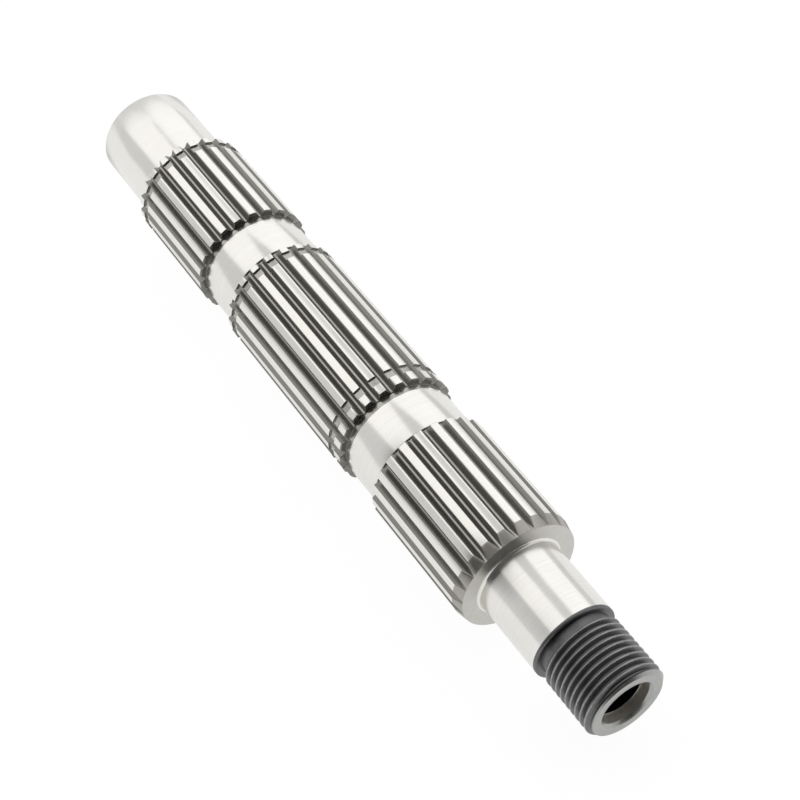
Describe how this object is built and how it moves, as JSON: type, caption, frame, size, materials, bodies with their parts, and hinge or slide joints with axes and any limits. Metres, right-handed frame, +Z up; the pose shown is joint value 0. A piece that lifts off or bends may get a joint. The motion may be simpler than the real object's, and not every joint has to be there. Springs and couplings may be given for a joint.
{
  "type": "splined shaft",
  "caption": "Gearbox shaft with three splined sections, ground necks and journals, circlip grooves, a threaded end and a blind end bore.",
  "frame": {"origin": "centre of the plain end's face, on the shaft's axis", "axes": "+X along the axis towards the threaded end, +Z up, with a spline gap facing straight down"},
  "size_m": [0.2065, 0.0296, 0.0296],
  "materials": {
    "shaft_steel": "ground and machined bare steel, with a black-oxide threaded end"
  },
  "bodies": {
    "root": {"splined_shaft": "shaft_steel"}
  },
  "joints": []
}
